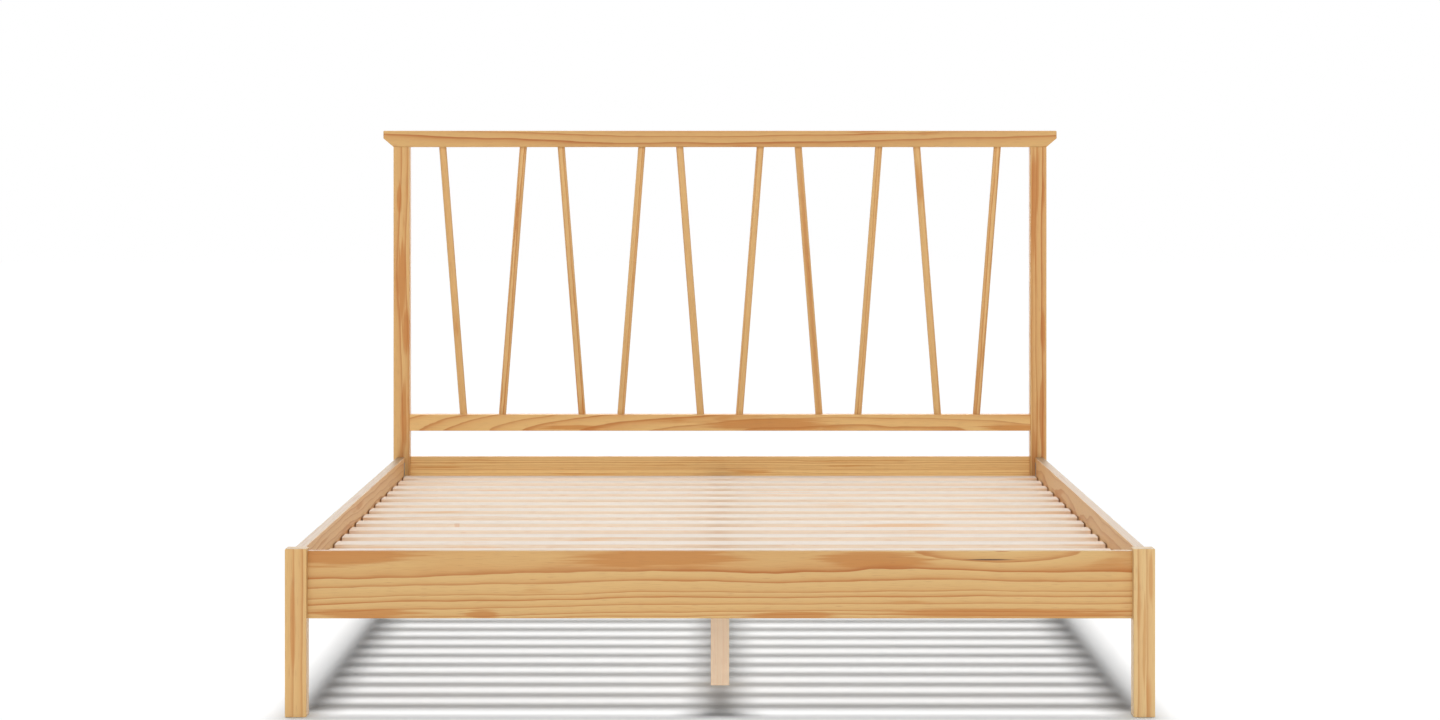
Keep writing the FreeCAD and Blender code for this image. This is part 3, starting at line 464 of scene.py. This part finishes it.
frameBoards = {
    "foot_rail": {
        "pith": (0.0525, 0.15),
        "lean": (0.01, 0),
        "bow": (-0.013, 0),
        "sway": 0.0022,
        "swayLength": 0.3,
        "phase": 0.55,
        "seed": 3,
        "amberLevel": 0.66,
        "flames": (
            (-0.72, 0.054, 0.16, 0.022),
            (-0.11, 0.048, 0.17, 0.02),
            (-0.66, -0.054, 0.11, 0.009),
            (-0.44, -0.055, 0.035, 0.009),
            (0.29, 0.046, 0.11, 0.015),
            (0.13, -0.056, 0.08, 0.008),
            (0.52, -0.053, 0.24, 0.01),
        ),
        "cracks": ((0.5, 0.0462, 0.055, 0.0017),),
        "swirl": (0.51, 0.078, 0.14, -0.012),
        "toneAndPaintedLight": (0.92, 0.94, 0.98),
        # Painted shade: the top and bottom faces darker, against the sheen on the top.
        "edge": (0.72, 0.78, 0.78, 1),
    },
    "head_end_rail": {
        "pith": (-0.03, 0.09),
        "ring": 0.003,
        "sway": 0.0016,
        "seed": 4,
        # Painted light: much lighter, to make up for the shade it stands in behind the slats.
        "toneAndPaintedLight": (1.28, 1.4, 1.54),
    },
    "headboard_cap": {
        "pith": (-0.06, 0.16),
        "ring": 0.007,
        "bow": (0.033, 0),
        "sway": 0.0014,
        "seed": 5,
        "toneAndPaintedLight": (0.97, 0.93, 0.89),
    },
    "headboard_mid_rail": {
        "pith": (-0.034, 0.146),
        "lean": (0, -0.022),
        "bow": (0, 0.0316),
        "sway": 0.0015,
        "seed": 6,
        "toneAndPaintedLight": (1.17, 1.18, 1.2),
        "flames": (
            (0.12, -0.004, 0.16, 0.016),
            (-0.36, -0.012, 0.08, 0.006),
            (0.72, -0.012, 0.08, 0.008),
        ),
    },
    "head_post_left": {
        "grain": "Z",
        "face": "X",
        "pith": (-0.03, -0.09),
        "ring": 0.009,
        "sway": 0.004,
        "swayLength": 0.4,
        "seed": 7,
        "toneAndPaintedLight": (1.0, 0.97, 0.96),
        "flames": (
            (0.406, -0.005, 0.04, 0.007),
            (0.206, 0, 0.1, 0.012),
            (0.086, 0.012, 0.06, 0.01),
            (-0.134, 0.006, 0.09, 0.008),
        ),
    },
    "head_post_right": {
        "grain": "Z",
        "face": "X",
        "pith": (0.05, -0.07),
        "ring": 0.009,
        "sway": 0.003,
        "seed": 8,
        "toneAndPaintedLight": (0.98, 0.92, 0.89),
        "flames": (
            (0.39, -0.012, 0.13, 0.007),
            (0.08, 0.01, 0.06, 0.006),
            (-0.12, 0.008, 0.09, 0.006),
        ),
    },
    "foot_leg_left": {
        "grain": "Z",
        "face": "X",
        "pith": (-0.05, -0.08),
        "ring": 0.012,
        "sway": 0.002,
        "seed": 9,
        "strength": 0.55,
        "amberDepth": 0.5,
        "flames": ((0.02, -0.005, 0.09, 0.005),),
        "toneAndPaintedLight": (0.95, 0.96, 1.02),
    },
    "foot_leg_right": {
        "grain": "Z",
        "face": "X",
        "pith": (0.05, -0.08),
        "ring": 0.012,
        "sway": 0.002,
        "seed": 10,
        "strength": 0.6,
        "amberDepth": 0.5,
        "flames": ((-0.02, 0, 0.09, 0.004), (0.1, 0.012, 0.05, 0.004)),
        "toneAndPaintedLight": (0.99, 1.08, 1.29),
    },
    "side_rail_left": {
        **sideRail,
        "pith": (-0.02, -0.11),
        "seed": 11,
        "flames": ((-0.3, 0.01, 0.22, 0.02), (0.35, -0.01, 0.2, 0.02)),
    },
    "side_rail_right": {
        **sideRail,
        "pith": (0.02, 0.11),
        "seed": 12,
        "flames": ((-0.1, -0.01, 0.2, 0.02), (0.45, 0.01, 0.22, 0.02)),
    },
}
for name, board in frameBoards.items():
    dress([name], makeWood(name + "_pine", honey, board, middle(name)))
print("frame boards finished:", len(frameBoards))

spindles = {
    "topSpread": 0.0993,  # from a pair's middle, at the cap
    "footSpread": 0.0479,  # the same at the mid rail
    "rise": 0.658,
    "pitch": 0.292,
    "left": ["spindle_01", "spindle_03", "spindle_05", "spindle_07", "spindle_09"],
    "right": ["spindle_02", "spindle_04", "spindle_06", "spindle_08", "spindle_10"],
}
spindleLean = math.atan((spindles["topSpread"] - spindles["footSpread"]) / spindles["rise"])
for side, way in (("left", -1), ("right", 1)):
    board = {
        "grain": "Z",
        "face": "X",
        "turn": way * spindleLean,
        "pitch": spindles["pitch"] * math.cos(spindleLean),
        "pith": (0.0, 0.06),
        "pithSpread": (0.03, 0.04),
        "ring": 0.005,
        "sway": 0.0012,
        "seed": 14 + way,
        "strength": 0.8,
        "toneAndPaintedLight": (1.08, 1.08, 1.16),
    }
    dress(spindles[side], makeWood("spindle_pine_" + side, honey, board, middle(spindles[side][2])))
print("spindles finished")

slatWood = {
    "names": [f"slat_{number:02d}" for number in range(1, 16)],
    "pitch": 0.1337,
    "board": {
        "grain": "X",
        "face": "Y",
        "pith": (0.0, 0.07),
        "pithSpread": (0.04, 0.04),
        "ring": 0.005,
        "seed": 20,
        "strength": 0.35,
        # Painted light: the fronts and backs lighter and warmer than the tops, standing for light from
        # below and the front.
        "edge": (1.18, 1.065, 0.94, 1),
        "knots": (
            (0.4, 0.02, 0.004),
            (1.7, -0.012, 0.0035),
            (2.6, -0.028, 0.0045),
            (3.9, 0.008, 0.003),
            (4.8, -0.03, 0.004),
            (6.1, 0.026, 0.0035),
            (7.3, -0.027, 0.0045),
            (8.4, -0.006, 0.0035),
        ),
    },
}
slatBoard = {**slatWood["board"], "pitch": slatWood["pitch"]}
dress(slatWood["names"], makeWood("slat_pine", raw, slatBoard, middle("slat_08")))

hiddenBoards = {
    "slat_ledger_left": {"grain": "Y", "face": "Z", "seed": 21},
    "slat_ledger_right": {"grain": "Y", "face": "Z", "seed": 22},
    "centre_rail": {"grain": "Y", "face": "X", "seed": 23},
    "centre_leg_1": {
        "grain": "Z",
        "face": "X",
        "pith": (0.02, -0.06),
        "ring": 0.004,
        "seed": 24,
        "strength": 0.35,
        "toneAndPaintedLight": (1.09, 0.94, 0.77),
    },
    "centre_leg_2": {"grain": "Z", "face": "X", "seed": 25},
    "centre_leg_3": {"grain": "Z", "face": "X", "seed": 26},
    "centre_rail_seat_foot": {"grain": "X", "face": "Z", "seed": 27},
    "centre_rail_seat_head": {"grain": "X", "face": "Z", "seed": 28},
    "rail_dowels": {"grain": "X", "face": "Z", "seed": 29},
    "cap_dowels": {"grain": "Z", "face": "X", "seed": 30},
}
for name, board in hiddenBoards.items():
    dress([name], makeWood(name + "_wood", raw, board, middle(name)))
print("slats and carriers finished")


# Steel fittings: zinc plate with a faint spangle and brushed lines.

steel = {
    "bright": paint(196, 199, 204),
    "dull": paint(160, 163, 170),
    "spangle": 260,  # cells to the metre
    "brush": (900, 900, 60),
    "clouds": (40, 40, 40),
    "spangleShare": 0.4,  # the clouds have the rest
    "roughness": 0.36,
}


def makeSteel():
    finish = newFinish("zincPlate")
    place = finish.node("TexCoord").outputs["Object"]
    cells = finish.node("TexVoronoi", {}, {"Vector": place, "Scale": steel["spangle"]})
    tint = finish.parts(cells.outputs["Color"])[0]
    brushed = finish.noise(place, steel["brush"], 2)
    cloud = finish.noise(place, steel["clouds"], 3)
    share = tint * steel["spangleShare"] + cloud * (1 - steel["spangleShare"])
    colour = finish.mix(share, steel["dull"], steel["bright"])
    rough = tint * 0.1 + (brushed - 0.5) * 0.12 + (cloud - 0.5) * 0.15 + steel["roughness"]
    return finish.surface({
        "Base Color": colour,
        "Roughness": rough,
        "Metallic": 1.0,
        "Normal": finish.bump(brushed, 0.00003),
    })


steelStarts = ("hook_bracket", "slot_plate_foot", "slot_plate_head")
steelNodes = [name for name in nodes if name.startswith(steelStarts)]
steelNodes.append("centre_leg_studs")
zincPlate = makeSteel()
dress(steelNodes, zincPlate)
print("steel finished:", len(steelNodes))


meshing = {
    "mergeWithin": 0.00001,
    "sharpOver": 38,  # degrees
}


def makePiece(name, shape, material, body, replaced):
    bmesh.ops.remove_doubles(shape, verts=shape.verts, dist=meshing["mergeWithin"])
    bmesh.ops.recalc_face_normals(shape, faces=shape.faces)
    for face in shape.faces:
        face.smooth = True
    mesh = bpy.data.meshes.new(name)
    shape.to_mesh(mesh)
    shape.free()
    mesh.set_sharp_from_angle(angle=math.radians(meshing["sharpOver"]))
    mesh.materials.append(material)
    piece = bpy.data.objects.new(name, mesh)
    bpy.context.scene.collection.objects.link(piece)
    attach(piece, body)
    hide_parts(replaced)
    print(name, "made:", len(mesh.polygons), "faces")


# Countersunk screws with a cross recess and a turned thread.

screws = {
    "rounds": 24,
    "threadSteps": 12,
    "recessArm": 0.29,  # these three are shares of the head's width
    "recessWidth": 0.13,
    "recessDepth": 0.22,
    "recessTaper": 0.4,  # share of half its width
    "core": 0.68,  # share of the shank's width that the thread leaves
    "plain": 0.3,  # share of the length with no thread
    "tip": 1.1,  # shank widths
    "tipWidth": 0.08,  # share of the core
    "threadedTip": 0.6,  # share of the tip
    "toothRoot": 0.9,  # share of the core
    "toothHalf": 0.34,  # share of the thread's pitch
    "turnApart": 1.9,  # how far each screw is driven past the one before
    "kinds": {
        "bracket_screws": {
            "shank": 0.004,
            "head": 0.0075,
            "length": 0.016,
            "pitch": 0.0014,
            "across": 0.775,
            "along": 1.006,
            "heights": (0.218, 0.248, 0.278),
        },
        "slot_plate_screws": {
            "shank": 0.004,
            "head": 0.0075,
            "length": 0.025,
            "pitch": 0.0016,
            "across": 0.785,
            "along": 1.02,
            "heights": (0.201, 0.295),
        },
        "frame_screws": {
            "shank": 0.005,
            "head": 0.0095,
            "length": 0.05,
            "pitch": 0.0025,
            "ledgerAcross": 0.735,
            "ledgerHeight": 0.228,
            "ledgerStops": (-0.96, -0.64, -0.32, 0, 0.32, 0.64, 0.96),
            "seatAcross": 0.038,
            "seatHeight": 0.194,
            "seatFaces": ((-0.985, -1), (1.005, 1)),  # and the way to drive into each
            "railHeight": 0.243,
            "railEnds": (-1.0025, 1.0225),
        },
    },
}


def placeScrews(kind, size):
    places = []
    for side in (-1, 1):
        outward = Vector((side, 0, 0))
        if kind == "frame_screws":
            for y in size["ledgerStops"]:
                places.append(((side * size["ledgerAcross"], y, size["ledgerHeight"]), outward))
            for y, end in size["seatFaces"]:
                places.append(((side * size["seatAcross"], y, size["seatHeight"]), Vector((0, end, 0))))
            continue
        for end in (-1, 1):
            way = outward if kind == "bracket_screws" else Vector((0, end, 0))
            for height in size["heights"]:
                places.append(((side * size["across"], end * size["along"], height), way))
    if kind == "frame_screws":
        places += [((0, y, size["railHeight"]), Vector((0, 0, -1))) for y in size["railEnds"]]
    return places


def drawOn(shape, ring, drop, radius):
    # Carries a ring of edges on down the screw's axis at a new radius.
    grown = bmesh.ops.extrude_edge_only(shape, edges=ring)["geom"]
    verts = [part for part in grown if isinstance(part, bmesh.types.BMVert)]
    share = radius / verts[0].co.xy.length
    bmesh.ops.scale(shape, vec=(share, share, 1), verts=verts)
    bmesh.ops.translate(shape, vec=(0, 0, -drop), verts=verts)
    return [part for part in grown if isinstance(part, bmesh.types.BMEdge)]


def fromCross(face):
    return min(abs(part) for part in face.calc_center_median().xy)


def makeScrewMesh(name, size):
    shape = bmesh.new()
    arm = size["head"] * screws["recessArm"]
    half = size["head"] * screws["recessWidth"] / 2
    cross = bmesh.ops.create_grid(shape, x_segments=3, y_segments=3, size=1)["verts"]
    for vert in cross:
        for axis in (0, 1):
            reach = arm if abs(vert.co[axis]) > 0.5 else half
            vert.co[axis] = math.copysign(reach, vert.co[axis])
    corners = [face for face in shape.faces if fromCross(face) > half]
    bmesh.ops.delete(shape, geom=corners, context="FACES")
    recess = list(shape.faces)
    outline = [edge for edge in shape.edges if edge.is_boundary]
    rim = bmesh.ops.create_circle(shape, segments=screws["rounds"], radius=size["head"] / 2)["verts"]
    ring = [edge for edge in shape.edges if edge.verts[0] in rim]
    bmesh.ops.triangle_fill(shape, edges=outline + ring, use_beauty=True)
    depth = size["head"] * screws["recessDepth"]
    taper = half * screws["recessTaper"]
    bmesh.ops.inset_region(shape, faces=recess, thickness=taper, depth=-depth, use_even_offset=True)

    shank = size["shank"] / 2
    core = shank * screws["core"]
    cone = size["head"] / 2 - shank
    plain = size["length"] * screws["plain"]
    tip = size["shank"] * screws["tip"]
    ring = drawOn(shape, ring, cone, shank)
    ring = drawOn(shape, ring, plain - cone, shank)
    ring = drawOn(shape, ring, shank - core, core)
    ring = drawOn(shape, ring, size["length"] - plain - (shank - core) - tip, core)
    ring = drawOn(shape, ring, tip, core * screws["tipWidth"])
    bmesh.ops.contextual_create(shape, geom=ring)

    pitch = size["pitch"]
    turns = int((size["length"] - plain - tip * screws["threadedTip"]) / pitch)
    root = core * screws["toothRoot"]
    toothHalf = pitch * screws["toothHalf"]
    profile = [(root, toothHalf), (shank, 0), (root, -toothHalf)]
    verts = [shape.verts.new((x, 0, z - plain - pitch * 0.5)) for x, z in profile]
    tooth = bmesh.ops.contextual_create(shape, geom=verts)["faces"]
    bmesh.ops.spin(
        shape,
        geom=verts + list(tooth[0].edges) + tooth,
        cent=(0, 0, 0),
        axis=(0, 0, 1),
        dvec=(0, 0, -pitch / screws["threadSteps"]),
        angle=turns * math.tau,
        steps=turns * screws["threadSteps"],
    )
    mesh = bpy.data.meshes.new(name)
    shape.to_mesh(mesh)
    shape.free()
    return mesh


def copyInto(shape, mesh, change):
    before = len(shape.verts)
    shape.from_mesh(mesh)
    shape.verts.ensure_lookup_table()
    bmesh.ops.transform(shape, matrix=change, verts=shape.verts[before:])


for kind, size in screws["kinds"].items():
    pattern = makeScrewMesh(kind + "_pattern", size)
    shape = bmesh.new()
    for number, (place, way) in enumerate(placeScrews(kind, size)):
        driven = Matrix.Rotation(number * screws["turnApart"], 4, "Z")
        pointed = Vector((0, 0, -1)).rotation_difference(way).to_matrix().to_4x4()
        copyInto(shape, pattern, Matrix.Translation(place) @ pointed @ driven)
    bpy.data.meshes.remove(pattern)
    makePiece(kind + "_turned", shape, zincPlate, "frame", kind)


# Webbing tapes that tie the slats into one roll, and the staples that hold them.

webbing = {
    "sag": 0.0009,
    "acrossParts": 12,
    "partsPerSlat": 16,
    "selvedge": 0.0002,
    "selvedgeBand": (0.8, 0.99),  # shares of half the width
    "slatHalf": 0.033,
    "yarn": paint(226, 220, 206),
    "shadedYarn": paint(188, 178, 158),
    "warpPitch": 0.00155,
    "weftPitch": 0.0011,
    "chevron": 4,  # threads to each turn
    "repeat": 4,  # threads, half of them over and half under
    "relief": 0.0003,
}


def makeWebbing():
    finish = newFinish("webbingWeave")
    place = finish.node("TexCoord").outputs["Object"]
    across, along, upward = finish.parts(place)
    warp = across / webbing["warpPitch"]
    weft = along / webbing["weftPitch"]
    column = finish.math("FLOOR", warp)
    row = finish.math("FLOOR", weft)
    turned = finish.math("PINGPONG", column, webbing["chevron"])
    step = finish.math("WRAP", turned + row, webbing["repeat"], 0)
    warpOver = finish.math("LESS_THAN", step, webbing["repeat"] / 2)
    warpDome = finish.math("PINGPONG", warp - column, 0.5) * 2
    weftDome = finish.math("PINGPONG", weft - row, 0.5) * 2
    dome = warpOver * warpDome + (1 - warpOver) * weftDome
    fuzz = finish.noise(place, (2600, 2600, 2600), 3)
    worn = finish.noise(place, (28, 9, 28), 3)
    height = dome * 0.8 + fuzz * 0.3
    # Painted shade: the yarn darkens toward the edge of each raised thread, between the threads; where
    # the weft lies on top it is a little darker too.
    share = (1 - finish.smooth(dome, 0, 0.7)) * 0.7 + (1 - warpOver) * 0.12 + (fuzz - 0.5) * 0.3
    colour = finish.mix(share, webbing["yarn"], webbing["shadedYarn"])
    shade = finish.spread(worn, 0.9, 1.08)
    colour = finish.mix(1, colour, finish.whole(shade, shade, shade), "MULTIPLY")
    return finish.surface({
        "Base Color": colour,
        "Roughness": (fuzz - 0.5) * 0.2 + 0.82,
        "Normal": finish.bump(height, webbing["relief"]),
    })


def makeTape(side, material):
    low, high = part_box("slat_tape_" + side)
    size = high - low
    centre = middle("slat_tape_" + side)
    firstSlat, lastSlat = [middle(slatWood["names"][number]).y for number in (0, -1)]
    shape = bmesh.new()
    rows = webbing["partsPerSlat"] * len(slatWood["names"])
    bmesh.ops.create_grid(shape, x_segments=webbing["acrossParts"], y_segments=rows, size=0.5)
    bmesh.ops.scale(shape, vec=(size.x, size.y, 1), verts=shape.verts)
    bmesh.ops.translate(shape, vec=(centre.x, centre.y, low.z), verts=shape.verts)
    grown = bmesh.ops.extrude_face_region(shape, geom=list(shape.faces))["geom"]
    upper = [part for part in grown if isinstance(part, bmesh.types.BMVert)]
    bmesh.ops.translate(shape, vec=(0, 0, size.z), verts=upper)
    isUpper = set(upper)
    inner, outer = webbing["selvedgeBand"]
    for vert in shape.verts:
        # Flat under each slat, a shallow droop in each gap.
        slatNumber = (firstSlat - vert.co.y) / slatWood["pitch"]
        toSlat = abs(slatNumber - round(slatNumber)) * slatWood["pitch"]
        gapHalf = slatWood["pitch"] / 2 - webbing["slatHalf"]
        share = min(max((toSlat - webbing["slatHalf"]) / gapHalf, 0), 1)
        if firstSlat > vert.co.y > lastSlat:
            vert.co.z -= webbing["sag"] * share * share * (3 - 2 * share)
        edgeShare = abs(vert.co.x - centre.x) / size.x * 2
        if vert not in isUpper:
            vert.co.z -= webbing["selvedge"] * (1 if inner < edgeShare < outer else -1)
    makePiece(f"slat_webbing_{side}", shape, material, "slat_base", "slat_tape_" + side)


staples = {
    "wire": 0.0006,  # radius
    "rounds": 8,
    "legRun": 0.0054,
    "legTop": 0.2515,
    "crownRise": 0.2409,
    "bend": 0.0011,
    "bendSteps": 3,
}


def makeStapleMesh():
    # One round wire, drawn down the first leg, across the crown and up the second leg.
    rise = staples["legTop"] - staples["crownRise"]
    legLength = rise - staples["bend"]
    bendX = staples["legRun"] - staples["bend"]
    shape = bmesh.new()
    wire = {"segments": staples["rounds"], "radius": staples["wire"]}
    verts = bmesh.ops.create_circle(shape, cap_ends=True, **wire)["verts"]
    bmesh.ops.translate(shape, vec=(-staples["legRun"], 0, rise), verts=verts)
    face = shape.faces[:][0]

    def draw(face, move):
        grown = bmesh.ops.extrude_face_region(shape, geom=[face])["geom"]
        verts = [part for part in grown if isinstance(part, bmesh.types.BMVert)]
        bmesh.ops.translate(shape, vec=move, verts=verts)
        return [part for part in grown if isinstance(part, bmesh.types.BMFace)][0]

    def turn(face, x):
        geometry = [face] + list(face.edges) + list(face.verts)
        turned = bmesh.ops.spin(
            shape,
            geom=geometry,
            cent=(x, 0, staples["bend"]),
            axis=(0, -1, 0),
            angle=math.pi / 2,
            steps=staples["bendSteps"],
        )["geom_last"]
        return [part for part in turned if isinstance(part, bmesh.types.BMFace)][0]

    face = draw(face, (0, 0, -legLength))
    face = turn(face, -bendX)
    face = draw(face, (2 * bendX, 0, 0))
    face = turn(face, bendX)
    face = draw(face, (0, 0, legLength))
    mesh = bpy.data.meshes.new("staple_pattern")
    shape.to_mesh(mesh)
    shape.free()
    return mesh


webbingWeave = makeWebbing()
for side in ("left", "right"):
    makeTape(side, webbingWeave)
pattern = makeStapleMesh()
shape = bmesh.new()
for name in slatWood["names"]:
    for side in ("left", "right"):
        x = middle("slat_tape_" + side).x
        copyInto(shape, pattern, Matrix.Translation((x, middle(name).y, staples["crownRise"])))
bpy.data.meshes.remove(pattern)
makePiece("tape_staples_round", shape, zincPlate, "slat_base", "tape_staples")


# The studio: a white floor, one soft lamp high overhead and fill lamps low all round. The floor
# has an overhead lamp of its own, so it stays white while the wood keeps its plain level. That
# lamp is warm and the floor's paint cool, so that light off the wood leaves no stain in the
# shade. floorGlow stands for what so bright a floor sends back up.

studio = {
    "floorSize": 60,
    "floorSeen": (0.78, 0.887, 1, 1),
    "floorBounce": (0.4, 0.455, 0.513, 1),
    "skyStrength": 0.11,
    "lamps": {
        "floorLamp": {
            "share": 1.19,
            "turn": (-6.6, 0, 0),
            "angle": 0.38,
            "lights": "floor",
            "tint": (1, 0.88, 0.78),
        },
        "overheadLamp": {"share": 0.54, "turn": (-6.6, 0, 0), "angle": 0.34, "lights": "bed"},
        "frontLamp": {"share": 0.3, "turn": (68, 0, 0), "angle": 0.5, "lights": "bed"},
        "lowFrontLamp": {"share": 0.05, "turn": (83, 0, 0), "angle": 0.4, "lights": "bed"},
        "floorGlow": {"share": 0.47, "turn": (120, 0, 0), "angle": 1.5, "lights": "bed"},
        "backLamp": {"share": 0.32, "turn": (-80, 0, 0), "angle": 0.8, "lights": "bed"},
        "leftLamp": {"share": 0.32, "turn": (0, -79, 0), "angle": 0.8, "lights": "bed"},
        "rightLamp": {"share": 0.32, "turn": (0, 79, 0), "angle": 0.8, "lights": "bed"},
    },
}


def makeFloor():
    mesh = bpy.data.meshes.new("studioFloor")
    shape = bmesh.new()
    bmesh.ops.create_grid(shape, x_segments=1, y_segments=1, size=studio["floorSize"] / 2)
    shape.to_mesh(mesh)
    shape.free()
    floor = bpy.data.objects.new("studioFloor", mesh)
    bpy.context.scene.collection.objects.link(floor)
    finish = newFinish("floorPaint")
    white = finish.mix(seenDirectly(finish), studio["floorBounce"], studio["floorSeen"])
    matt = finish.node("BsdfDiffuse", {}, {"Color": white})
    finish.node("OutputMaterial", {}, {"Surface": matt.outputs[0]})
    mesh.materials.append(finish.owner)
    return floor


def seenDirectly(finish):
    # One for rays from the camera and for what metal and lacquer mirror.
    path = finish.node("LightPath").outputs
    either = finish.math("MAXIMUM", path["Is Camera Ray"], path["Is Glossy Ray"])
    return finish.math("MAXIMUM", either, path["Is Transmission Ray"])


def makeSky():
    bpy.context.scene.world = bpy.data.worlds.new("whiteSky")
    sky = Finish(bpy.context.scene.world)
    strength = sky.spread(seenDirectly(sky), studio["skyStrength"], 1)
    light = sky.node("Background", {}, {"Color": (1, 1, 1, 1), "Strength": strength})
    sky.node("OutputWorld", {}, {"Surface": light.outputs[0]})


def makeLamps(floor):
    lit = {}
    for name, state in (("floor", "INCLUDE"), ("bed", "EXCLUDE")):
        lit[name] = bpy.data.collections.new(name + "Lit")
        lit[name].objects.link(floor)
        lit[name].collection_objects[0].light_linking.link_state = state
    for name, lampSizes in studio["lamps"].items():
        lamp = bpy.data.lights.new(name, "SUN")
        lamp.energy = lampSizes["share"] * math.pi
        lamp.angle = lampSizes["angle"]
        lamp.color = lampSizes.get("tint", (1, 1, 1))
        holder = bpy.data.objects.new(name, lamp)
        holder.rotation_euler = [math.radians(part) for part in lampSizes["turn"]]
        bpy.context.scene.collection.objects.link(holder)
        holder.light_linking.receiver_collection = lit[lampSizes["lights"]]
        if lampSizes["lights"] == "bed":
            holder.light_linking.blocker_collection = lit["bed"]


view = {
    "place": (0, -7.306, 1.005),
    "lens": 84.65,
    "sensor": 36,
    "rise": -0.1301,
    "farthest": 200,
}


def makeCamera():
    camera = bpy.data.cameras.new("studioCamera")
    camera.lens = view["lens"]
    camera.sensor_width = view["sensor"]
    camera.sensor_fit = "HORIZONTAL"
    camera.shift_y = view["rise"]
    camera.clip_end = view["farthest"]
    holder = bpy.data.objects.new("studioCamera", camera)
    holder.location = view["place"]
    holder.rotation_euler = (math.pi / 2, 0, 0)
    bpy.context.scene.collection.objects.link(holder)
    bpy.context.scene.camera = holder


floor = makeFloor()
makeSky()
makeLamps(floor)
makeCamera()
bpy.context.scene.view_settings.view_transform = "Standard"
print("studio ready")
